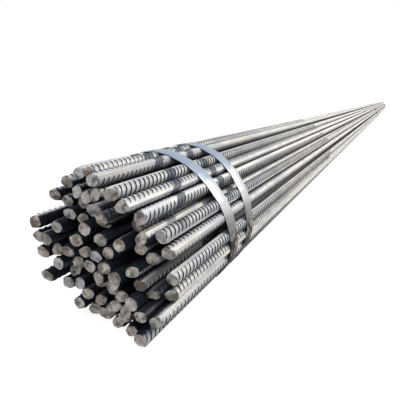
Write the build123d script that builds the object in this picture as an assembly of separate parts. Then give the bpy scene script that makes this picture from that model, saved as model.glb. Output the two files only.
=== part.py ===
"""Bundle of ribbed reinforcing bars, held by flat steel straps and lying along Y.

Sizes are in millimetres. +Z is up, the near ends of the bars are at -Y, and the
origin is under the middle of the bundle, where its straps rest on the floor.
"""
from build123d import *
from bisect import bisect_left
from math import atan2, cos, hypot, pi, radians, sin, sqrt, tan
import os

# One bar: an 18 mm ribbed bar in its 12 m stock length
core_diameter = 17.6
bar_length = 12000.0
long_rib_width = 2.4       # of the two straight ribs that run along a bar
long_rib_height = 0.35

# Space between two bars' cores, which their crossing ribs fill
rib_room = 0.9
rib_room_spread = 0.05     # how much more that is where two bars are out of line

# The cross-section that the straps draw the bars into: an oval, leaning to one side
bundle_width = 198.0
bundle_height = 226.0
outline_lean = -0.25       # how far it moves aside for each millimetre up
floor_cut = 20.0           # how much of the outline's foot the floor flattens
outer_room = 7.4           # between the cores of two outer bars, on average
outer_stray = 5.5          # most that an outer bar strays from its even place
outer_start = -92.3        # where the first outer bar lies round the oval, in degrees from +X
outline_steps = 720        # the oval is followed in so many steps
gap_every = 4              # one place in so many is left empty inside the bundle
row_count = 11             # nodes that the bars are grouped in, from the floor up

# How far the ends of the bars stand out of line
end_spread = 17.0          # either way from the middle, in every row
row_step = 1.2             # a row lies this much further back than the row below
side_lobe = 0.5            # how much weaker the lobes of the end face are towards -X
end_chance = 0.15          # how much chance moves a bar, beside the lobes

# Flat steel straps, and the middle of each one's width from the middle line of the ends
strap_width = 32.0
strap_thickness = 0.9
strap_seat = 0.9           # space over a bar's core, which its crossing ribs fill
first_strap_inset = 200.0
second_strap_inset = 288.0
first_strap_lean = 7.5     # its foot is this many degrees further from the ends
second_strap_lean = -7.0
middle_strap_offset = 200.0  # from the middle of the bundle's length

golden_share = 0.618034    # steps of this share of a range never line up again


def share(number, shift=0.0):
    """A value from 0 to 1 that is different for each bar, and always the same for one."""
    return (number * golden_share + shift) % 1.0


def touching(first, first_reach, second, second_reach):
    """The two places that lie at the given distances from two points."""
    (x1, z1), (x2, z2) = first, second
    apart = hypot(x2 - x1, z2 - z1)
    if apart >= first_reach + second_reach or apart <= abs(first_reach - second_reach):
        return []
    along = (first_reach**2 - second_reach**2 + apart**2) / (2 * apart)
    across = sqrt(max(0.0, first_reach**2 - along**2))
    ux, uz = (x2 - x1) / apart, (z2 - z1) / apart
    return [
        (x1 + ux * along - side * uz * across, z1 + uz * along + side * ux * across)
        for side in (1, -1)
    ]


def in_oval(x, z, middle, margin=0.0):
    """A place as shares of the leaning oval's half width and half height, less a margin."""
    up = z - middle
    return (x - outline_lean * up) / (bundle_width / 2 - margin), up / (bundle_height / 2 - margin)


def outer_places(middle, margin):
    """Centres of the outer bars: unevenly round the leaning oval, and along the floor that cuts it."""
    path = []
    for step in range(outline_steps + 1):
        angle = radians(outer_start) + 2 * pi * step / outline_steps
        up = (bundle_height / 2 - margin) * sin(angle)
        aside = (bundle_width / 2 - margin) * cos(angle) + outline_lean * up
        path.append((aside, max(core_diameter / 2, middle + up)))
    passed = [0.0]
    for (x1, z1), (x2, z2) in zip(path, path[1:]):
        passed.append(passed[-1] + hypot(x2 - x1, z2 - z1))
    count = int(passed[-1] / (core_diameter + outer_room))
    spacing = passed[-1] / count
    stops = [spacing * number + outer_stray * (2 * share(number) - 1) for number in range(count)]
    return [path[bisect_left(passed, stop)] for stop in stops]


def laid_bars(middle):
    """Numbered centres of the bars: the outer ones, then each as low as two others or the floor let it."""
    radius = core_diameter / 2
    margin = radius + rib_room / 2
    places = outer_places(middle, margin)
    outer_count = len(places)
    while True:
        spacing = core_diameter + rib_room + rib_room_spread * share(len(places))
        tries = []
        for number, place in enumerate(places):
            for other in places[:number]:
                tries += touching(place, spacing, other, spacing)
            if place[1] - radius < spacing:
                aside = sqrt(spacing**2 - (place[1] - radius) ** 2)
                tries += [(place[0] - aside, radius), (place[0] + aside, radius)]
        tries = [
            (x, z)
            for x, z in tries
            if z >= radius
            and hypot(*in_oval(x, z, middle, margin)) <= 1
            and all(hypot(x - px, z - pz) > spacing - 1e-6 for px, pz in places)
        ]
        if not tries:
            break
        places.append(min(tries, key=lambda place: place[1]))
    return [
        (number, x, z)
        for number, (x, z) in enumerate(places)
        if number < outer_count or number % gap_every != gap_every // 2
    ]


def end_tendency(number, x, z, middle):
    """How far back a bar's end tends to lie: three lobes round the bundle, and some chance."""
    aside, up = in_oval(x, z, middle)
    angle = atan2(up, aside)
    lobes = hypot(aside, up) * cos(3 * angle) * (1 - side_lobe + side_lobe * cos(angle))
    return lobes + end_chance * (2 * share(number, 0.3) - 1)


def end_offsets(row, tendencies):
    """The tendencies of one row's bars, stretched to the spread that every row has."""
    low, high = min(tendencies), max(tendencies)
    set_back = row_step * (row - (row_count - 1) / 2)
    return [set_back + end_spread * (2 * (each - low) / (high - low) - 1) for each in tendencies]


def bar_blank():
    """A straight bar with its two long ribs, its middle at the origin and its length along Z."""
    reach = core_diameter / 2 + long_rib_height
    section = Circle(core_diameter / 2) + Rectangle(2 * reach, long_rib_width)
    return extrude(section, bar_length / 2, both=True)


def bar(blank, number, x, middle, z):
    """One bar along Y, turned its own way about its axis."""
    roll = 180 * share(number, 0.45)
    return Pos(x, middle, z) * Rot(90, 0, 0) * Rot(0, 0, roll) * blank


def hull(points):
    """The corners of the tight loop round some points, in order."""
    points = sorted(points)
    corners = []
    for way in (points, points[::-1]):
        chain = []
        for point in way:
            while len(chain) > 1:
                (ax, az), (bx, bz) = chain[-2:]
                if (bx - ax) * (point[1] - az) - (bz - az) * (point[0] - ax) > 1e-9:
                    break
                chain.pop()
            chain.append(point)
        corners += chain[:-1]
    return corners


def strap(centres, station, middle, lean=0.0):
    """A flat strap drawn tight round the outer bars and folded over them, at one station along Y."""
    across = Plane((0, 0, 0), x_dir=(1, 0, 0), z_dir=(0, -1, 0))
    loop = make_face(Polyline(*hull(centres), close=True))
    inner = core_diameter / 2 + strap_seat
    outside = offset(loop, inner + strap_thickness, kind=Kind.INTERSECTION)
    ring = outside - offset(loop, inner, kind=Kind.INTERSECTION)
    reach = bundle_height * tan(radians(abs(lean))) + strap_width
    sleeve = Pos(0, station, 0) * extrude(across * ring, reach, both=True)
    room = 2 * bundle_width + 2 * bundle_height
    slab = Pos(0, station, middle) * Rot(lean, 0, 0) * Box(room, strap_width, room)
    return sleeve & slab


def build():
    """Every node of the bundle by its name."""
    bars = laid_bars(bundle_height / 2 - floor_cut)
    lift = strap_seat + strap_thickness
    sides = [x for _, x, _ in bars]
    aside = -(min(sides) + max(sides)) / 2
    bars = [(number, x + aside, z + lift) for number, x, z in bars]

    heights = [z for _, _, z in bars]
    middle = (min(heights) + max(heights)) / 2
    rows = {}
    for rank, each in enumerate(sorted(bars, key=lambda each: each[2])):
        rows.setdefault(rank * row_count // len(bars), []).append(each)

    blank = bar_blank()
    nodes = {}
    for row, row_bars in rows.items():
        offsets = end_offsets(row, [end_tendency(*each, middle) for each in row_bars])
        nodes[f"bars_row_{row + 1:02d}"] = [
            bar(blank, number, x, set_back, z)
            for (number, x, z), set_back in zip(row_bars, offsets)
        ]

    centres = [(x, z) for _, x, z in bars]
    half = bar_length / 2
    first, second = half - first_strap_inset, half - second_strap_inset
    stations = {
        "strap_near_first": (-first, first_strap_lean),
        "strap_near_second": (-second, second_strap_lean),
        "strap_middle": (middle_strap_offset, 0.0),
        "strap_far_second": (second, -second_strap_lean),
        "strap_far_first": (first, -first_strap_lean),
    }
    for name, (station, lean) in stations.items():
        nodes[name] = [strap(centres, station, middle, lean)]
    return nodes


os.makedirs("parts", exist_ok=True)
for node_name, solids in build().items():
    export_step(Compound(children=solids), f"parts/{node_name}.step")
    print(node_name, len(solids))
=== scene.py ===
"""Dresses a bundle of ribbed reinforcing bars: rolled ribs, sheared ends and flat steel straps.

Lengths are in metres, in the frame's own axes: +Z up, the near ends of the bars at -Y.
"""
import random
from math import atan2, cos, degrees, hypot, pi, radians, sin, tan

import bmesh
import bpy
from mathutils import Matrix, Vector, noise


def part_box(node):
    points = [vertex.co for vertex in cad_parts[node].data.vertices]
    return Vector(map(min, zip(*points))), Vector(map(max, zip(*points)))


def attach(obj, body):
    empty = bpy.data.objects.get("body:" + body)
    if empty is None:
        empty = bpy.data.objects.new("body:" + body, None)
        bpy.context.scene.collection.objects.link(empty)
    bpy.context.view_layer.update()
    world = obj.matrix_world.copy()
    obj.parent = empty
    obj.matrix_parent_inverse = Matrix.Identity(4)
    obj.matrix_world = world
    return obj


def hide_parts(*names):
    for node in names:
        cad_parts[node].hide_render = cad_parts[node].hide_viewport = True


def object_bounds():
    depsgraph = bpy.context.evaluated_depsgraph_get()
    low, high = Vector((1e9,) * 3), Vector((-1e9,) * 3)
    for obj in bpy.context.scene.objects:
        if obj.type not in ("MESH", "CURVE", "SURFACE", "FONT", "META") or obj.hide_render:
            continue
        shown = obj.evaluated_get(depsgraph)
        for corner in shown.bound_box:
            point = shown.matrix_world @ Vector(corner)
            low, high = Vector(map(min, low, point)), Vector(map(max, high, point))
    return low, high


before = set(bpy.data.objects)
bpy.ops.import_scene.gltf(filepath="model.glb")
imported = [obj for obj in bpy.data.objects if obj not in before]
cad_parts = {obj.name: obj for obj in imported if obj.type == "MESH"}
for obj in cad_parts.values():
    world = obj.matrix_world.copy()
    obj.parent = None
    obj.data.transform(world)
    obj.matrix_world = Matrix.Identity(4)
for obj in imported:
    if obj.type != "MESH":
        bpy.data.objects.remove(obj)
cad_lowest, cad_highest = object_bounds()
bundle_middle = (cad_lowest + cad_highest) / 2

# The photograph's view: from beside the near ends, looking along the bundle and down on it
camera_lens = 36.0
camera_sensor = 36.0
camera_heading = 25.3
camera_pitch = 14.22
camera_aside = 0.314
camera_behind_ends = 0.371
camera_above_middle = 0.185
camera_nearest = 0.01
camera_furthest = 60.0

# A rolled bar's section and ribs
core_radius = 0.0088
section_sides = 32
long_rib_top_angle = 4.6
long_rib_foot_angle = 11.5
long_rib_height = 0.0009
rib_pitch = 0.010
rib_height = 0.00122
rib_foot_width = 0.0042
rib_top_width = 0.0016
rib_depth_in_core = 0.0005
rib_half_sweep = 80.0
rib_steps = 8
rib_shade_width = 0.0015
rib_shade_offset_share = 0.02
rib_shade_full_share = 0.55
rib_full_share = 0.55
rib_lean = 64.0
rib_crest_power = 0.4
rib_tip_width_share = 0.5
bar_sharp_angle = 48.0

# How much of a bar has its ribs as geometry: the rest has them as bump
outer_near_ribs = 130
outer_far_ribs = 36
inner_near_ribs = 20
inner_far_ribs = 10
outer_reach = 0.016
plain_stretch_least = 5.0

# Sheared ends
end_stations = (0.0012, 0.0035, 0.008, 0.016)
end_ring_shares = (0.92, 0.70, 0.38)
lip_depth = 0.0035
ribs_from_end = 0.006
floor_clearance = 0.0003
face_depth = 0.0002
end_normal_least = 0.7
end_slants = (7, 21)
end_slant_stray = 0.55
end_ovals = (0.02, 0.095)
oval_middle = 1.35
end_corners = (0.015, 0.05)
corner_counts = (3, 4, 5, 5, 6)
wave_share = 0.05
wave_scale = 90
lip_shares = (0.05, 0.12)
ridge_stray = 0.3
ridge_reach = 0.5
ridge_slopes = (-0.22, 0.26)
burr_highest = 0.0010
coarse_relief, coarse_scale = 0.0010, 110
fine_relief, fine_scale = 0.0003, 330
seed_range = 90

# How far a bar's surface is looked out from, to see whether its neighbours shelter it
shelter_steps = 32
shelter_rays = 9
shelter_spread = 70.0
shelter_reach = 0.07

# Straps, and their shadows painted as dark bands beside them on the upper bars
strap_bend_radius = 0.0097
strap_bend_most = 0.0045
strap_edge_round = 0.00025
strap_flat_angle = 0.3
strap_sharp_angle = 40.0
fold_least = 0.02
rim_least = 1.2
across_least = 0.02
first_band_offset = 0.1625
first_band_drift = 1.2
second_band_offset = 0.060
band_half_width = 0.012
band_blur = 0.002
band_lowest = 0.122
band_fade = 0.02

# The bars' steel: a range holds two readings, then what they give where that isn't 0 and 1
clean_warm = (0.78, 0.745, 0.69, 1)
clean_grey = (0.67, 0.665, 0.66, 1)
clean_pale = (0.83, 0.80, 0.74, 1)
pale_range = (0.28, 0.50, 0.0, 0.5)
dark_range = (0.25, 1.0, 1.0, 0.45)
streak_stretch = (60.0, 3.0, 1.0)
patch_stretch, patch_scale = (1.0, 0.25, 1.0), 60.0
scale_colour = (0.50, 0.52, 0.56, 1)
scale_range = (0.62, 0.9)
film_stretch, film_scale = (1.0, 0.08, 1.0), 26.0
film_colour = (0.46, 0.36, 0.28, 1)
film_range = (0.48, 0.66)
film_tone_range = (0.35, 0.75, 0.06, 0.36)
speck_scale, speck_relief = 900.0, 0.00006
speck_colour = (0.20, 0.19, 0.18, 1)
speck_range = (0.62, 0.74, 0.0, 0.35)
hollow_colour = (0.33, 0.35, 0.39, 1)
hollow_shares = (0.55, 0.45)
# Painted shadow on the ribs' near flanks
painted_flank_shadow_colour = (0.018, 0.022, 0.03, 1)
painted_flank_shadow_shares = (0.95, 0.80)
# Painted strap shadows: dark bands beside the near straps
painted_strap_shadow_colour = (0.04, 0.055, 0.08, 1)
painted_strap_shadow_share = 0.85
# Painted shade: near black on the bars' sides that their neighbours shelter, on more of them further
# from the ends
painted_shade_colour = (0.011, 0.014, 0.022, 1)
painted_shade_below = 0.03
lit_range = (0.4, 2.4, 0.38, 0.85)
bar_rough_range = (0.3, 0.7, 0.53, 0.65)
sheltered_roughness = 0.3
streak_relief = 0.00008

# The sheared ends' steel
end_dark = (0.24, 0.195, 0.16, 1)
end_middling = (0.52, 0.45, 0.39, 1)
end_bluish = (0.62, 0.625, 0.64, 1)
end_dark_range = (0.0, 0.35)
end_bluish_range = (0.55, 1.0)
cloud_scale, cloud_relief = 95.0, 0.0010
cloud_pale, cloud_pale_range = (0.86, 0.78, 0.68, 1), (0.53, 0.61, 0.0, 0.8)
cloud_dark, cloud_dark_range = (0.13, 0.10, 0.08, 1), (0.38, 0.50, 0.85, 0.0)
grain_stretch, grain_scale, grain_relief = (1.0, 1.0, 0.35), 900.0, 0.00025
grain_colour, grain_range = (0.19, 0.16, 0.14, 1), (0.35, 0.7, 0.0, 0.4)
pit_scale, pit_relief = 260.0, -0.0006
pit_colour, pit_range = (0.03, 0.02, 0.02, 1), (0.66, 0.73, 0.0, 0.85)
pit_relief_range = (0.62, 0.73)
end_shade, end_shade_range = (0.012, 0.014, 0.018, 1), (0.1, 0.6, 0.8, 0.0)
end_rough_range = (0.3, 0.7, 0.5, 0.68)

# The straps' steel: by height over the floor, a painted sky reflection above, darker lower down, near
# black at its foot
strap_grey = (0.57, 0.60, 0.62, 1)
# Painted sky reflection: bluer above a height
painted_sky_reflection_blue, painted_sky_reflection_range = (0.30, 0.36, 0.45, 1), (0.178, 0.186)
scuff_stretch, scuff_scale, scuff_relief = (1.0, 3.0, 1.0), 40.0, 0.0003
scuff_colour, scuff_range = (0.25, 0.28, 0.33, 1), (0.45, 0.7, 0.0, 0.25)
scuff_rough_range = (0.3, 0.7, 0.44, 0.56)
scuff_raggedness = 0.03
grit_scale, grit_relief = 700.0, 0.00003
# Darker lower down
lower_down_colour, lower_down_range = (0.16, 0.165, 0.175, 1), (0.108, 0.146, 1.0, 0.0)
lower_down_share, dull_roughness = 0.85, 0.2
# Near black at the foot, with pale brown patches
foot_range, foot_share = (0.088, 0.104, 1.0, 0.0), 0.95
foot_black, foot_pale_brown = (0.014, 0.012, 0.011, 1), (0.33, 0.29, 0.24, 1)
foot_patch_scale, foot_patch_range = 75.0, (0.53, 0.58)

# Studio
floor_radius = 60.0
floor_sides = 64
floor_colour = (0.28, 0.28, 0.28, 1)
floor_roughness = 0.9
floor_glow = 0.86
sky_colour = (0.80, 0.88, 0.98, 1)
sky_strength = 0.58
white = (1, 1, 1, 1)
key_lamp = {"strength": 1.9, "softness": 5, "colour": (1.0, 0.93, 0.82), "raised": 34, "swung": 46}
fill_lamp = {"strength": 0.9, "softness": 30, "colour": (0.94, 0.97, 1.0), "raised": 55, "swung": -125}

# Tolerances
merge_distance = 1e-6
core_tolerance = 0.0002
end_tolerance = 1e-4
turn_tolerance = 1e-12

seeded = random.Random(18)


# Objects, and the camera

def add_object(data):
    """Puts a mesh, lamp or camera in the scene, as an object of the same name."""
    made = bpy.data.objects.new(data.name, data)
    bpy.context.scene.collection.objects.link(made)
    return made


def add_camera():
    """The camera at the photograph's viewing angle."""
    data = bpy.data.cameras.new("camera")
    data.lens = camera_lens
    data.sensor_width = camera_sensor
    data.clip_start = camera_nearest
    data.clip_end = camera_furthest
    camera = add_object(data)
    near_line = near_ends_middle()
    camera.location = (
        bundle_middle.x + camera_aside,
        near_line - camera_behind_ends,
        bundle_middle.z + camera_above_middle,
    )
    camera.rotation_euler = (radians(90 - camera_pitch), 0, radians(camera_heading))
    bpy.context.scene.camera = camera


# The bars, as the frame's solids place them

class Bar:
    """One bar's place: its axis, its two ends and the turn of its long ribs about the axis."""

    def __init__(self, x, z, near, far, roll):
        self.x = x
        self.z = z
        self.near = near
        self.far = far
        self.roll = roll
        self.tone = seeded.random()


def islands(bm):
    """The groups of vertices that hang together, in the order of their first ones."""
    waiting = set(bm.verts)
    for first in bm.verts:
        if first not in waiting:
            continue
        waiting.remove(first)
        group = [first]
        for vert in group:
            for edge in vert.link_edges:
                other = edge.other_vert(vert)
                if other in waiting:
                    waiting.remove(other)
                    group.append(other)
        yield group


def bars_of(node):
    """The bars that one node of the frame holds."""
    bm = bmesh.new()
    bm.from_mesh(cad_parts[node].data)
    bmesh.ops.remove_doubles(bm, verts=bm.verts, dist=merge_distance)
    bars = []
    for group in islands(bm):
        xs = [vert.co.x for vert in group]
        ys = [vert.co.y for vert in group]
        zs = [vert.co.z for vert in group]
        x = (min(xs) + max(xs)) / 2
        z = (min(zs) + max(zs)) / 2
        tips = [
            (vert.co.x - x, vert.co.z - z)
            for vert in group
            if hypot(vert.co.x - x, vert.co.z - z) > core_radius + core_tolerance
        ]
        doubled = [2 * atan2(up, aside) for aside, up in tips]
        roll = atan2(sum(map(sin, doubled)), sum(map(cos, doubled))) / 2
        bars.append((x, z, min(ys), max(ys), roll))
    bm.free()
    return [Bar(*place) for place in sorted(bars)]


bar_nodes = sorted(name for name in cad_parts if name.startswith("bars_"))
strap_nodes = sorted(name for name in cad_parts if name.startswith("strap_"))
bars_by_node = {name: bars_of(name) for name in bar_nodes}
all_bars = [bar for bars in bars_by_node.values() for bar in bars]
bar_length = all_bars[0].far - all_bars[0].near

middle_strap_lowest, middle_strap_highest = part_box("strap_middle")
strap_width = middle_strap_highest.y - middle_strap_lowest.y


def near_ends_middle():
    """Halfway between the nearest and the furthest of the bars' near ends."""
    ends = [bar.near for bar in all_bars]
    return (min(ends) + max(ends)) / 2


def hull(points):
    """The corners of the tight loop round some points, in order."""
    points = sorted(points)
    corners = []
    for way in (points, points[::-1]):
        chain = []
        for point in way:
            while len(chain) > 1:
                (ax, az), (bx, bz) = chain[-2:]
                if (bx - ax) * (point[1] - az) - (bz - az) * (point[0] - ax) > turn_tolerance:
                    break
                chain.pop()
            chain.append(point)
        corners += chain[:-1]
    return corners


def mark_outer_bars():
    """Notes which bars lie at the bundle's surface."""
    corners = hull([(bar.x, bar.z) for bar in all_bars])
    for bar in all_bars:
        depths = []
        for (ax, az), (bx, bz) in zip(corners, corners[1:] + corners[:1]):
            across = (bx - ax) * (bar.z - az) - (bz - az) * (bar.x - ax)
            depths.append(across / hypot(bx - ax, bz - az))
        bar.outer = min(depths) < outer_reach


def free_share(bar, angle, neighbours):
    """How much of the way out from one side of a bar is free of its neighbours and the floor."""
    x = bar.x + core_radius * cos(angle)
    z = bar.z + core_radius * sin(angle)
    free = total = 0.0
    for ray in range(shelter_rays):
        turned = radians(shelter_spread) * (2 * ray / (shelter_rays - 1) - 1)
        ux, uz = cos(angle + turned), sin(angle + turned)
        weight = cos(turned)
        total += weight
        if z + uz * shelter_reach < 0:
            continue
        for other in neighbours:
            along = (other.x - x) * ux + (other.z - z) * uz
            across = (other.x - x) * uz - (other.z - z) * ux
            if 0 < along < shelter_reach and abs(across) < core_radius:
                break
        else:
            free += weight
    return free / total


def find_shelter():
    """Gives each bar its free shares, at even steps round it from +X."""
    for bar in all_bars:
        neighbours = [
            other
            for other in all_bars
            if other is not bar
            and hypot(other.x - bar.x, other.z - bar.z) < shelter_reach + 2 * core_radius
        ]
        bar.free = [
            free_share(bar, 2 * pi * step / shelter_steps, neighbours)
            for step in range(shelter_steps)
        ]


def free_at(bar, angle):
    """A bar's free share on one side, between the steps that were looked from."""
    place = (angle / (2 * pi)) % 1.0 * shelter_steps
    step = int(place)
    part = place - step
    first = bar.free[step % shelter_steps]
    return first + part * (bar.free[(step + 1) % shelter_steps] - first)


# Bar geometry

def folded(angle):
    """An angle in degrees from the nearer long rib, and the sign of its side."""
    from_rib = (angle + 90) % 180 - 90
    return abs(from_rib), 1 if from_rib >= 0 else -1


def shape_section(verts):
    """Draws two long ribs out of a plain round section that lies in the XZ plane.

    The two corners nearest to a rib's middle make its top, and the next on each side its foot.
    """
    half_side = 180 / section_sides
    for vert in verts:
        angle = degrees(atan2(vert.co.z, vert.co.x))
        from_rib, sign = folded(angle)
        rib_angle = angle - sign * from_rib
        radius = core_radius
        if from_rib < 1.5 * half_side:
            from_rib = long_rib_top_angle
            radius += long_rib_height
        elif from_rib < 3.5 * half_side:
            from_rib = long_rib_foot_angle
        turned = radians(rib_angle + sign * from_rib)
        vert.co.x = radius * cos(turned)
        vert.co.z = radius * sin(turned)


def drawn_out(bm, face):
    """A new face that is drawn out of one, with walls between them, and lies over it at first."""
    made = bmesh.ops.extrude_face_region(bm, geom=[face])
    return next(item for item in made["geom"] if isinstance(item, bmesh.types.BMFace))


def core_mesh(bar):
    """A bar's core with its long ribs, from 0 to its length along Y, and rings in its end faces."""
    length = bar.far - bar.near
    near_ribs, far_ribs = rib_counts(bar)
    bm = bmesh.new()
    turn = Matrix.Rotation(pi / 2, 4, "X") @ Matrix.Rotation(pi / section_sides, 4, "Z")
    bmesh.ops.create_circle(
        bm, cap_ends=True, segments=section_sides, radius=core_radius, matrix=turn
    )
    shape_section(bm.verts)
    near_cap = bm.faces[:][0]
    stations = [*end_stations, near_ribs * rib_pitch, length - far_ribs * rib_pitch]
    stations += [length - station for station in reversed(end_stations)] + [length]
    cap, reached = near_cap, 0.0
    for station in stations:
        last_cap = cap
        cap = drawn_out(bm, last_cap)
        if last_cap is not near_cap:
            bm.faces.remove(last_cap)
        bmesh.ops.translate(bm, verts=cap.verts, vec=(0, station - reached, 0))
        reached = station
    for end in (near_cap, cap):
        outer_share = 1.0
        for ring_share in end_ring_shares:
            outer_face = end
            end = drawn_out(bm, outer_face)
            bm.faces.remove(outer_face)
            ratio = ring_share / outer_share
            bmesh.ops.scale(bm, verts=end.verts, vec=(ratio, 1, ratio))
            outer_share = ring_share
        bmesh.ops.poke(bm, faces=[end])
    bmesh.ops.recalc_face_normals(bm, faces=bm.faces)
    for face in bm.faces:
        face.smooth = True
        if abs(face.normal.y) > end_normal_least:
            face.material_index = 1
    return bm


def rib_unit():
    """One crescent rib, on the side of a bar between its two long ribs, its middle at Y 0."""
    bm = bmesh.new()
    bmesh.ops.create_cube(bm, size=2.0)
    lengthwise = [
        edge for edge in bm.edges if abs(edge.verts[0].co.x - edge.verts[1].co.x) > 1
    ]
    bmesh.ops.subdivide_edges(bm, edges=lengthwise, cuts=rib_steps - 1, use_grid_fill=True)
    for vert in bm.verts:
        along, across, up = vert.co.x, vert.co.y, vert.co.z
        crest = (1 - along * along) ** rib_crest_power
        narrowed = rib_tip_width_share + (1 - rib_tip_width_share) * crest
        width = rib_top_width if up > 0 else rib_foot_width
        radius = core_radius - rib_depth_in_core
        if up > 0:
            radius = core_radius - rib_depth_in_core * (1 - crest) + rib_height * crest
        sweep = radians(rib_half_sweep) * along
        lean = core_radius * sweep / tan(radians(rib_lean))
        angle = pi / 2 + sweep
        vert.co = (
            radius * cos(angle),
            lean + across * width * narrowed / 2,
            radius * sin(angle),
        )
    bmesh.ops.recalc_face_normals(bm, faces=bm.faces)
    for face in bm.faces:
        face.smooth = True
    return bm


def rib_run(count):
    """A mesh of so many pairs of crescent ribs, one on each side, from Y 0 on."""
    unit = bpy.data.meshes.new("rib_unit")
    made = rib_unit()
    made.to_mesh(unit)
    made.free()
    bm = bmesh.new()
    half_turn = Matrix.Rotation(pi, 4, "Y")
    for step in range(count):
        for side in (0, 1):
            first = len(bm.verts)
            bm.from_mesh(unit)
            bm.verts.ensure_lookup_table()
            place = Matrix.Translation((0, (step + 0.5 + side / 2) * rib_pitch, 0))
            if side:
                place = place @ half_turn
            bmesh.ops.transform(bm, matrix=place, verts=bm.verts[first:])
    cut = bmesh.ops.bisect_plane(
        bm,
        geom=[*bm.verts, *bm.edges, *bm.faces],
        plane_co=(0, ribs_from_end, 0),
        plane_no=(0, -1, 0),
        clear_outer=True,
    )
    rims = [item for item in cut["geom_cut"] if isinstance(item, bmesh.types.BMEdge)]
    bmesh.ops.holes_fill(bm, edges=rims, sides=0)
    run = bpy.data.meshes.new(f"rib_run_{count}")
    give_bar_uv(bm)
    bm.to_mesh(run)
    bm.free()
    bpy.data.meshes.remove(unit)
    return run


def give_bar_uv(bm):
    """A UV map that runs round an unturned bar, and along it from its near end at Y 0."""
    uv = bm.loops.layers.uv.new("round_and_along")
    for face in bm.faces:
        middle = face.calc_center_median()
        face_angle = atan2(middle.z, middle.x)
        for loop in face.loops:
            co = loop.vert.co
            step = (atan2(co.z, co.x) - face_angle + pi) % (2 * pi) - pi
            loop[uv].uv = ((face_angle + step) / (2 * pi), co.y)


def rib_counts(bar):
    """How many pairs of ribs a bar has as geometry at its near and far ends."""
    if bar.outer:
        return outer_near_ribs, outer_far_ribs
    return inner_near_ribs, inner_far_ribs


class Shear:
    """How one end was sheared: its slant, its flattening, its drawn-in lip, its ridge and burr."""

    def __init__(self):
        self.blade = seeded.uniform(0, pi)
        self.slant_way = seeded.gauss(0.0, end_slant_stray)
        self.slant = tan(radians(seeded.uniform(*end_slants)))
        self.oval = seeded.uniform(*end_ovals)
        self.corner_way = seeded.uniform(-pi, pi)
        self.corner_count = seeded.choice(corner_counts)
        self.corner = seeded.uniform(*end_corners)
        self.lip = seeded.uniform(*lip_shares)
        self.ridge_way = self.blade + seeded.gauss(0.0, ridge_stray)
        self.ridge_place = core_radius * seeded.uniform(-ridge_reach, ridge_reach)
        self.ridge_slope = seeded.uniform(*ridge_slopes)
        self.burr_way = seeded.uniform(-pi, pi)
        self.burr = seeded.uniform(0.0, burr_highest)
        self.seed = Vector([seeded.uniform(0, seed_range) for _ in range(3)])

    def stretch(self, aside, up, depth, weight):
        """How many times further from the bar's axis the shear leaves a place near the end."""
        angle = atan2(up, aside)
        waves = noise.noise(self.seed + Vector((aside, up, 0)) * wave_scale)
        stretch = 1 + weight * self.oval * (2 * cos(angle - self.blade) ** 2 - oval_middle)
        stretch += weight * self.corner * cos(self.corner_count * (angle - self.corner_way))
        stretch += weight * wave_share * waves
        return stretch - self.lip * max(0.0, 1 - depth / lip_depth) ** 2

    def lean(self, aside, up):
        """How far the slant alone pushes a place of the end face in."""
        radius = hypot(aside, up)
        toward = self.slant * radius * cos(atan2(up, aside) - self.slant_way)
        return self.slant * core_radius + toward

    def relief(self, aside, up):
        """How far the ridge and the rough break push a place of the end face in, and its burr out."""
        radius = hypot(aside, up)
        angle = atan2(up, aside)
        coarse = noise.noise(self.seed + Vector((aside, 0, up)) * coarse_scale)
        fine = noise.noise(self.seed + Vector((aside, 3, up)) * fine_scale)
        past_ridge = radius * cos(angle - self.ridge_way) - self.ridge_place
        relief = self.ridge_slope * max(0.0, past_ridge)
        relief += coarse * coarse_relief
        relief += fine * fine_relief
        toward_burr = max(0.0, cos(angle - self.burr_way)) ** 3
        return relief - self.burr * toward_burr * (radius / core_radius) ** 4


def shear_end(bar, verts, end_y, inward):
    """Shapes a bar's end as a shear does, none of it past the end's place in the frame."""
    shear = Shear()
    reach = end_stations[-1]
    moved = []
    for vert in verts:
        depth = (vert.co.y - end_y) * inward
        if depth > reach:
            continue
        weight = (1 - max(0.0, depth) / reach) ** 2
        aside, up = vert.co.x - bar.x, vert.co.z - bar.z
        stretch = shear.stretch(aside, up, depth, weight)
        pushed_in = shear.lean(aside, up) * weight
        if depth < face_depth:
            pushed_in += shear.relief(aside, up)
        vert.co.x = bar.x + aside * stretch
        vert.co.y += inward * pushed_in
        vert.co.z = max(floor_clearance, bar.z + up * stretch)
        moved.append(vert)
    overshoot = min((vert.co.y - end_y) * inward for vert in moved)
    if overshoot < 0:
        for vert in moved:
            vert.co.y -= inward * overshoot


def paint_shelter(mesh, runs):
    """A value for each vertex: how free its side of the bar is, and 1 on the sheared face."""
    values = []
    for bar, first, last, on_face in runs:
        for place, vert in enumerate(mesh.vertices[first:last]):
            if place < len(on_face) and on_face[place]:
                values.append(1.0)
            else:
                values.append(free_at(bar, atan2(vert.co.z - bar.z, vert.co.x - bar.x)))
    mesh.attributes.new("free_share", "FLOAT", "POINT").data.foreach_set("value", values)


def paint_faces(mesh, runs):
    """Per-face values: each bar's own tone, and where its ribs are bump."""
    tones = mesh.attributes.new("bar_tone", "FLOAT", "FACE")
    bumps = mesh.attributes.new("bump_ribs", "FLOAT", "FACE")
    tone_values = []
    bump_values = []
    for tone, first, last, plain in runs:
        tone_values += [tone] * (last - first)
        bump_values += plain
    tones.data.foreach_set("value", tone_values)
    bumps.data.foreach_set("value", bump_values)


def is_plain_stretch(face):
    """Whether a face lies on the long middle stretch of a bar, whose crossing ribs are bump."""
    along = [vert.co.y for vert in face.verts]
    return max(along) - min(along) > plain_stretch_least


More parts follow.
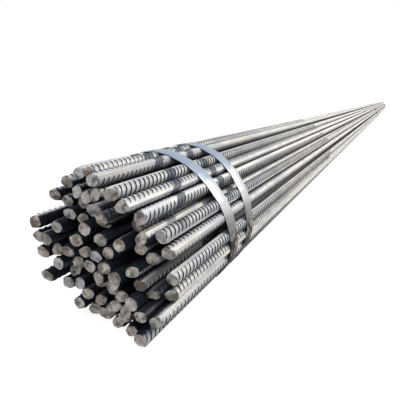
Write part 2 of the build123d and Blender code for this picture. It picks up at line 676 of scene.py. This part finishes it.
def is_on_end_face(vert, length):
    """Whether a corner of an unturned core lies on its end face, inside the rim."""
    if min(abs(vert.co.y), abs(length - vert.co.y)) >= end_tolerance:
        return False
    return all(
        abs(edge.other_vert(vert).co.y - vert.co.y) < end_tolerance for edge in vert.link_edges
    )


def add_core(bm, core):
    """Adds a bar's core to a row, and frees it."""
    mesh = bpy.data.meshes.new("core")
    core.to_mesh(mesh)
    core.free()
    bm.from_mesh(mesh)
    bpy.data.meshes.remove(mesh)


def add_ribs(bm, bar, runs_by_count):
    """Adds an unturned bar's crossing ribs at both of its ends."""
    near_ribs, far_ribs = rib_counts(bar)
    bm.from_mesh(runs_by_count[near_ribs])
    far_first = len(bm.verts)
    bm.from_mesh(runs_by_count[far_ribs])
    bm.verts.ensure_lookup_table()
    turn_round = Matrix.Translation((0, bar.far - bar.near, 0)) @ Matrix.Rotation(pi, 4, "Z")
    bmesh.ops.transform(bm, matrix=turn_round, verts=bm.verts[far_first:])


def dress_row(node, runs_by_count):
    """One row's bars with their ribs and sheared ends, in place of its plain solids."""
    bm = bmesh.new()
    face_runs = []
    vert_runs = []
    for bar in bars_by_node[node]:
        first_vert, first_face = len(bm.verts), len(bm.faces)
        core = core_mesh(bar)
        give_bar_uv(core)
        plain = [float(is_plain_stretch(face)) for face in core.faces]
        on_face = [is_on_end_face(vert, bar.far - bar.near) for vert in core.verts]
        add_core(bm, core)
        add_ribs(bm, bar, runs_by_count)
        place = Matrix.Translation((bar.x, bar.near, bar.z)) @ Matrix.Rotation(-bar.roll, 4, "Y")
        verts = bm.verts[first_vert:]
        bmesh.ops.transform(bm, matrix=place, verts=verts)
        shear_end(bar, verts, bar.near, 1)
        shear_end(bar, verts, bar.far, -1)
        plain += [0.0] * (len(bm.faces) - first_face - len(plain))
        face_runs.append((bar.tone, first_face, len(bm.faces), plain))
        vert_runs.append((bar, first_vert, len(bm.verts), on_face))
    mesh = bpy.data.meshes.new(f"{node}_ribbed")
    bm.to_mesh(mesh)
    bm.free()
    paint_faces(mesh, face_runs)
    paint_shelter(mesh, vert_runs)
    mesh.set_sharp_from_angle(angle=radians(bar_sharp_angle))
    mesh.materials.append(bar_steel)
    mesh.materials.append(sheared_steel)
    piece = add_object(mesh)
    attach(piece, "root")
    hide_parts(node)


# Straps

def bend_edges(bm):
    """The strap's fold lines: edges across its width, between faces that aren't in line."""
    return [
        edge
        for edge in bm.edges
        if len(edge.link_faces) == 2
        and fold_least < edge.calc_face_angle() < rim_least
        and abs(edge.verts[0].co.y - edge.verts[1].co.y) > across_least
    ]


def bend_strap(bm):
    """Rounds a strap's folds as far as they have room, and then takes off its sharp edges."""
    bmesh.ops.dissolve_limit(
        bm,
        angle_limit=radians(strap_flat_angle),
        verts=bm.verts,
        edges=bm.edges,
        delimit={"NORMAL"},
    )
    for edge in bend_edges(bm):
        reach = strap_bend_radius * tan(edge.calc_face_angle() / 2)
        bmesh.ops.bevel(
            bm,
            geom=[edge],
            offset=min(reach, strap_bend_most),
            offset_type="OFFSET",
            segments=4,
            profile=0.5,
            affect="EDGES",
            material=-1,
        )
    rims = [edge for edge in bm.edges if edge.is_manifold and edge.calc_face_angle() > rim_least]
    bmesh.ops.bevel(
        bm,
        geom=rims,
        offset=strap_edge_round,
        offset_type="OFFSET",
        segments=2,
        profile=0.5,
        affect="EDGES",
        material=-1,
    )


def dress_strap(node):
    """A strap that bends round each bar it passes, in place of the folded one in the frame."""
    bm = bmesh.new()
    bm.from_mesh(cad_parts[node].data)
    bmesh.ops.remove_doubles(bm, verts=bm.verts, dist=merge_distance)
    bend_strap(bm)
    for face in bm.faces:
        face.smooth = True
    mesh = bpy.data.meshes.new(f"{node}_bent")
    bm.to_mesh(mesh)
    bm.free()
    mesh.set_sharp_from_angle(angle=radians(strap_sharp_angle))
    mesh.materials.append(strap_steel)
    piece = add_object(mesh)
    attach(piece, "root")
    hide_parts(node)


# Materials

class Nodes:
    """A material's node tree, with short calls to add and join its nodes."""

    def __init__(self, name):
        self.material = bpy.data.materials.new(name)
        self.material.use_nodes = True
        self.tree = self.material.node_tree
        self.shader = self.tree.nodes["Principled BSDF"]

    def add(self, kind, inputs=(), **settings):
        """A new node with its settings, and its inputs joined or given values."""
        node = self.tree.nodes.new("ShaderNode" + kind)
        for name, value in settings.items():
            setattr(node, name, value)
        for socket, value in dict(inputs).items():
            self.give(node.inputs[socket], value)
        return node

    def give(self, socket, value):
        """Joins an input to another node's output, or gives it a value of its own."""
        if isinstance(value, bpy.types.NodeSocket):
            self.tree.links.new(value, socket)
        else:
            socket.default_value = value

    def math(self, operation, *values):
        return self.add("Math", dict(enumerate(values)), operation=operation).outputs[0]

    def noise(self, vector, scale, detail=3.0):
        inputs = {"Vector": vector, "Scale": scale, "Detail": detail, "Roughness": 0.55}
        return self.add("TexNoise", inputs).outputs["Fac"]

    def between(self, value, low, high, to_low=0.0, to_high=1.0):
        """A smooth step from one result to another, as a value goes from low to high."""
        inputs = {0: value, 1: low, 2: high, 3: to_low, 4: to_high}
        return self.add("MapRange", inputs, interpolation_type="SMOOTHSTEP").outputs[0]

    def mix(self, share, first, second):
        """The first colour, with so large a share of the second."""
        node = self.add("Mix", data_type="RGBA")
        for socket, value in ((0, share), (6, first), (7, second)):
            self.give(node.inputs[socket], value)
        return node.outputs[2]

    def stretched(self, vector, scale):
        return self.add("Mapping", {"Vector": vector, "Scale": scale}).outputs[0]

    def parts(self, vector):
        return self.add("SeparateXYZ", {0: vector}).outputs

    def value_of(self, name):
        return self.add("Attribute", attribute_name=name).outputs["Fac"]

    def finished(self, colour, roughness, height, strength):
        """The material, once its colour, roughness and relief are joined to the shader."""
        bump = self.add("Bump", {"Height": height, "Strength": strength, "Distance": 1.0})
        self.give(self.shader.inputs["Base Color"], colour)
        self.give(self.shader.inputs["Roughness"], roughness)
        self.give(self.shader.inputs["Normal"], bump.outputs[0])
        return self.material


def rib_pattern(nodes, uv):
    """The crossing ribs' height, the hollows between them and the painted shadow on their near flanks,
    from 0 to 1.
    """
    round_share, along, _ = nodes.parts(uv)
    half = nodes.math("FRACT", nodes.math("MULTIPLY", round_share, 2.0))
    side = nodes.math("FLOOR", nodes.math("MULTIPLY", nodes.math("FRACT", round_share), 2.0))
    sweep = nodes.math("MULTIPLY", nodes.math("SUBTRACT", half, 0.5), pi)
    sway = core_radius / tan(radians(rib_lean)) / rib_pitch
    turns = nodes.math("DIVIDE", along, rib_pitch)
    turns = nodes.math("SUBTRACT", turns, nodes.math("MULTIPLY", sweep, sway))
    turns = nodes.math("SUBTRACT", turns, nodes.math("MULTIPLY", side, 0.5))
    place = nodes.math("SUBTRACT", nodes.math("FRACT", turns), 0.5)
    foot, top = rib_foot_width / rib_pitch / 2, rib_top_width / rib_pitch / 2
    ridge = nodes.between(nodes.math("ABSOLUTE", place), top, foot, 1.0, 0.0)
    reach = radians(rib_half_sweep)
    swept = nodes.math("ABSOLUTE", sweep)
    fade = nodes.between(swept, reach * rib_full_share, reach, 1.0, 0.0)
    shade = rib_shade_width / rib_pitch
    flank_place = nodes.math("ADD", place, (foot + top) / 2 + rib_shade_offset_share)
    taper = nodes.math("MULTIPLY_ADD", fade, -shade, shade)
    from_flank = nodes.math("ADD", nodes.math("ABSOLUTE", flank_place), taper)
    painted_flank_shadow = nodes.between(from_flank, shade * rib_shade_full_share, shade, 1.0, 0.0)
    hollow = nodes.math("MULTIPLY", nodes.math("SUBTRACT", 1.0, ridge), fade)
    return nodes.math("MULTIPLY", ridge, fade), hollow, painted_flank_shadow


def painted_strap_shadows(nodes, place):
    """1 on the straps' painted shadows, bands that lie beside the near straps, on the near side of
    each.
    """
    _, along, height = nodes.parts(place)
    painted_shadow_bands = []
    for name, way, offset, drift in (
        ("strap_near_first", -1, first_band_offset, first_band_drift),
        ("strap_near_second", 1, second_band_offset, 0.0),
    ):
        low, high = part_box(name)
        lean = way * ((high.y - low.y) - strap_width) / (high.z - low.z)
        middle = (low.y + high.y) / 2 - offset
        up = nodes.math("SUBTRACT", height, (low.z + high.z) / 2)
        line = nodes.math("MULTIPLY_ADD", up, lean + drift, middle)
        away = nodes.math("ABSOLUTE", nodes.math("SUBTRACT", along, line))
        edge = (band_half_width - band_blur, band_half_width + band_blur)
        painted_shadow_bands.append(nodes.between(away, *edge, 1.0, 0.0))
    high_up = nodes.between(height, band_lowest, band_lowest + band_fade)
    return nodes.math("MULTIPLY", nodes.math("MAXIMUM", *painted_shadow_bands), high_up)


def distance_from_end(nodes, uv):
    """How far along its bar a place lies from the nearer of the bar's ends."""
    from_near = nodes.parts(uv)[1]
    from_far = nodes.math("SUBTRACT", bar_length, from_near)
    return nodes.math("MINIMUM", from_near, from_far)


def with_scale_and_rust(nodes, colour, place, streaks, kept_dark):
    """Adds patches of scale, and a film of rust that is stronger on some bars."""
    patches = nodes.noise(nodes.stretched(place, patch_stretch), patch_scale)
    mottle = nodes.math("MULTIPLY_ADD", streaks, 0.5, patches)
    scale = nodes.math("MULTIPLY", nodes.between(mottle, *scale_range), kept_dark)
    colour = nodes.mix(scale, colour, scale_colour)
    film = nodes.between(nodes.noise(nodes.stretched(place, film_stretch), film_scale), *film_range)
    film = nodes.math("MULTIPLY", film, nodes.between(nodes.value_of("bar_tone"), *film_tone_range))
    return nodes.mix(nodes.math("MULTIPLY", film, kept_dark), colour, film_colour)


def with_rib_shade(nodes, colour, hollow, painted_flank_shadow, as_bump, kept_dark):
    """Darkens the hollows between crossing ribs, and paints darker shadow on the ribs' near flanks."""
    for mark, (on_geometry, on_bump), shade in (
        (hollow, hollow_shares, hollow_colour),
        (painted_flank_shadow, painted_flank_shadow_shares, painted_flank_shadow_colour),
    ):
        share = nodes.math("MULTIPLY_ADD", as_bump, on_bump - on_geometry, on_geometry)
        share = nodes.math("MULTIPLY", share, kept_dark)
        colour = nodes.mix(nodes.math("MULTIPLY", mark, share), colour, shade)
    return colour


def make_bar_steel():
    """Hot-rolled steel: silvery where it is rubbed, with scale in the rib hollows, painted shadow on
    the ribs' near flanks and beside the near straps, and shade painted near black between the bars.
    """
    nodes = Nodes("rolled_bar_steel")
    place = nodes.add("TexCoord").outputs["Object"]
    uv = nodes.add("UVMap", uv_map="round_and_along").outputs[0]
    as_bump = nodes.value_of("bump_ribs")
    ridge, hollow, painted_flank_shadow = rib_pattern(nodes, uv)
    from_end = distance_from_end(nodes, uv)
    kept_dark = nodes.between(from_end, *dark_range)
    streaks = nodes.noise(nodes.stretched(uv, streak_stretch), 1.0)
    specks = nodes.noise(place, speck_scale)

    colour = nodes.mix(nodes.value_of("bar_tone"), clean_warm, clean_grey)
    colour = nodes.mix(nodes.between(from_end, *pale_range), colour, clean_pale)
    colour = with_scale_and_rust(nodes, colour, place, streaks, kept_dark)
    colour = nodes.mix(nodes.between(specks, *speck_range), colour, speck_colour)
    # The ribs' near flanks get painted shadow
    colour = with_rib_shade(nodes, colour, hollow, painted_flank_shadow, as_bump, kept_dark)
    # Painted strap shadows beside the near straps
    painted_shadow_bands = nodes.math("MULTIPLY", painted_strap_shadows(nodes, place), painted_strap_shadow_share)
    colour = nodes.mix(painted_shadow_bands, colour, painted_strap_shadow_colour)
    # Painted shade: sides that neighbouring bars shelter go near black
    lit_from = nodes.between(from_end, *lit_range)
    painted_shade = nodes.between(nodes.value_of("free_share"), painted_shade_below, lit_from, 1.0, 0.0)
    colour = nodes.mix(painted_shade, colour, painted_shade_colour)

    rough = nodes.between(streaks, *bar_rough_range)
    rough = nodes.math("MULTIPLY_ADD", painted_shade, sheltered_roughness, rough)
    height = nodes.math("MULTIPLY", nodes.math("MULTIPLY", ridge, as_bump), rib_height)
    height = nodes.math("MULTIPLY_ADD", specks, speck_relief, height)
    height = nodes.math("MULTIPLY_ADD", streaks, streak_relief, height)
    nodes.shader.inputs["Metallic"].default_value = 0.38
    nodes.shader.inputs["Specular IOR Level"].default_value = 0.3
    return nodes.finished(colour, rough, height, strength=1.0)


def make_sheared_steel():
    """A sheared end: matt and clouded, brown-grey to bluish from bar to bar, with small pits."""
    nodes = Nodes("sheared_bar_end")
    place = nodes.add("TexCoord").outputs["Object"]
    tone = nodes.value_of("bar_tone")
    cloud = nodes.noise(place, cloud_scale)
    grain = nodes.noise(nodes.stretched(place, grain_stretch), grain_scale, detail=4.0)
    pits = nodes.noise(place, pit_scale, detail=2.0)

    colour = nodes.mix(nodes.between(tone, *end_dark_range), end_dark, end_middling)
    colour = nodes.mix(nodes.between(tone, *end_bluish_range), colour, end_bluish)
    for value, value_range, shade in (
        (cloud, cloud_pale_range, cloud_pale),
        (cloud, cloud_dark_range, cloud_dark),
        (grain, grain_range, grain_colour),
        (pits, pit_range, pit_colour),
        (nodes.value_of("free_share"), end_shade_range, end_shade),
    ):
        colour = nodes.mix(nodes.between(value, *value_range), colour, shade)

    rough = nodes.between(cloud, *end_rough_range)
    height = nodes.math("MULTIPLY", grain, grain_relief)
    height = nodes.math("MULTIPLY_ADD", cloud, cloud_relief, height)
    pitted = nodes.between(pits, *pit_relief_range)
    height = nodes.math("MULTIPLY_ADD", pitted, pit_relief, height)
    nodes.shader.inputs["Metallic"].default_value = 0.25
    nodes.shader.inputs["Specular IOR Level"].default_value = 0.3
    return nodes.finished(colour, rough, height, strength=0.8)


def make_strap_steel():
    """Smooth zinc-grey strapping: painted sky reflection in blue at the top, darker and rougher lower
    down, near black with pale brown patches at its foot.
    """
    nodes = Nodes("zinc_strapping")
    place = nodes.add("TexCoord").outputs["Object"]
    scuffs = nodes.noise(nodes.stretched(place, scuff_stretch), scuff_scale)
    grit = nodes.noise(place, grit_scale)
    ragged = nodes.math("MULTIPLY_ADD", scuffs, scuff_raggedness, nodes.parts(place)[2])
    lower_down = nodes.between(ragged, *lower_down_range)
    near_black_foot = nodes.between(ragged, *foot_range)

    # Painted sky reflection: bluer above a height
    colour = nodes.mix(nodes.between(ragged, *painted_sky_reflection_range), strap_grey, painted_sky_reflection_blue)
    colour = nodes.mix(nodes.between(scuffs, *scuff_range), colour, scuff_colour)
    # Darker lower down
    colour = nodes.mix(nodes.math("MULTIPLY", lower_down, lower_down_share), colour, lower_down_colour)
    # Near black at the foot, with pale brown patches
    foot_patches = nodes.between(nodes.noise(place, foot_patch_scale), *foot_patch_range)
    foot_colour = nodes.mix(foot_patches, foot_black, foot_pale_brown)
    colour = nodes.mix(nodes.math("MULTIPLY", near_black_foot, foot_share), colour, foot_colour)

    rough = nodes.between(scuffs, *scuff_rough_range)
    rough = nodes.math("MULTIPLY_ADD", lower_down, dull_roughness, rough)
    height = nodes.math("MULTIPLY", scuffs, scuff_relief)
    height = nodes.math("MULTIPLY_ADD", grit, grit_relief, height)
    nodes.shader.inputs["Metallic"].default_value = 0.5
    return nodes.finished(colour, rough, height, strength=0.6)


# Floor, world and lamps

def seen_directly(tree):
    """1 for rays from the camera, and for those that glossy or clear surfaces send on."""
    path = tree.nodes.new("ShaderNodeLightPath")
    seen = path.outputs["Is Camera Ray"]
    for other in ("Is Glossy Ray", "Is Transmission Ray"):
        either = tree.nodes.new("ShaderNodeMath")
        either.operation = "MAXIMUM"
        tree.links.new(seen, either.inputs[0])
        tree.links.new(path.outputs[other], either.inputs[1])
        seen = either.outputs[0]
    return seen


def add_floor():
    """A plain pale floor that shows nearly white and keeps the bundle's shadow."""
    bm = bmesh.new()
    bmesh.ops.create_circle(bm, cap_ends=True, segments=floor_sides, radius=floor_radius)
    mesh = bpy.data.meshes.new("floor")
    bm.to_mesh(mesh)
    bm.free()
    nodes = Nodes("pale_floor")
    nodes.shader.inputs["Base Color"].default_value = floor_colour
    nodes.shader.inputs["Roughness"].default_value = floor_roughness
    nodes.shader.inputs["Specular IOR Level"].default_value = 0.0
    nodes.shader.inputs["Emission Color"].default_value = white
    glow = nodes.math("MULTIPLY", seen_directly(nodes.tree), floor_glow)
    nodes.give(nodes.shader.inputs["Emission Strength"], glow)
    mesh.materials.append(nodes.material)
    floor = add_object(mesh)


def add_lamp(name, strength, softness, colour, raised, swung):
    """A far lamp, its place given in degrees up from level and round from +X towards +Y."""
    data = bpy.data.lights.new(name, "SUN")
    data.energy = strength
    data.angle = radians(softness)
    data.color = colour
    lamp = add_object(data)
    up, round_z = radians(raised), radians(swung)
    toward = Vector((cos(up) * cos(round_z), cos(up) * sin(round_z), sin(up)))
    lamp.rotation_mode = "QUATERNION"
    lamp.rotation_quaternion = toward.to_track_quat("Z", "Y")


def light_scene():
    """A sky that shows white, a warm key from the far right and a soft fill on the near ends."""
    world = bpy.data.worlds.new("studio")
    bpy.context.scene.world = world
    world.use_nodes = True
    tree = world.node_tree
    sky = tree.nodes["Background"]
    sky.inputs["Color"].default_value = sky_colour
    sky.inputs["Strength"].default_value = sky_strength
    shown = tree.nodes.new("ShaderNodeBackground")
    shown.inputs["Color"].default_value = white
    either = tree.nodes.new("ShaderNodeMixShader")
    tree.links.new(seen_directly(tree), either.inputs[0])
    tree.links.new(sky.outputs[0], either.inputs[1])
    tree.links.new(shown.outputs[0], either.inputs[2])
    tree.links.new(either.outputs[0], tree.nodes["World Output"].inputs["Surface"])

    add_lamp("key", **key_lamp)
    add_lamp("fill", **fill_lamp)


add_camera()
mark_outer_bars()
find_shelter()
bar_steel = make_bar_steel()
sheared_steel = make_sheared_steel()
strap_steel = make_strap_steel()

rib_runs = {
    count: rib_run(count)
    for count in (outer_near_ribs, outer_far_ribs, inner_near_ribs, inner_far_ribs)
}
for bar_node in bar_nodes:
    dress_row(bar_node, rib_runs)
for run_mesh in rib_runs.values():
    bpy.data.meshes.remove(run_mesh)
for name in strap_nodes:
    dress_strap(name)

add_floor()
light_scene()
bpy.context.scene.view_settings.view_transform = "Standard"
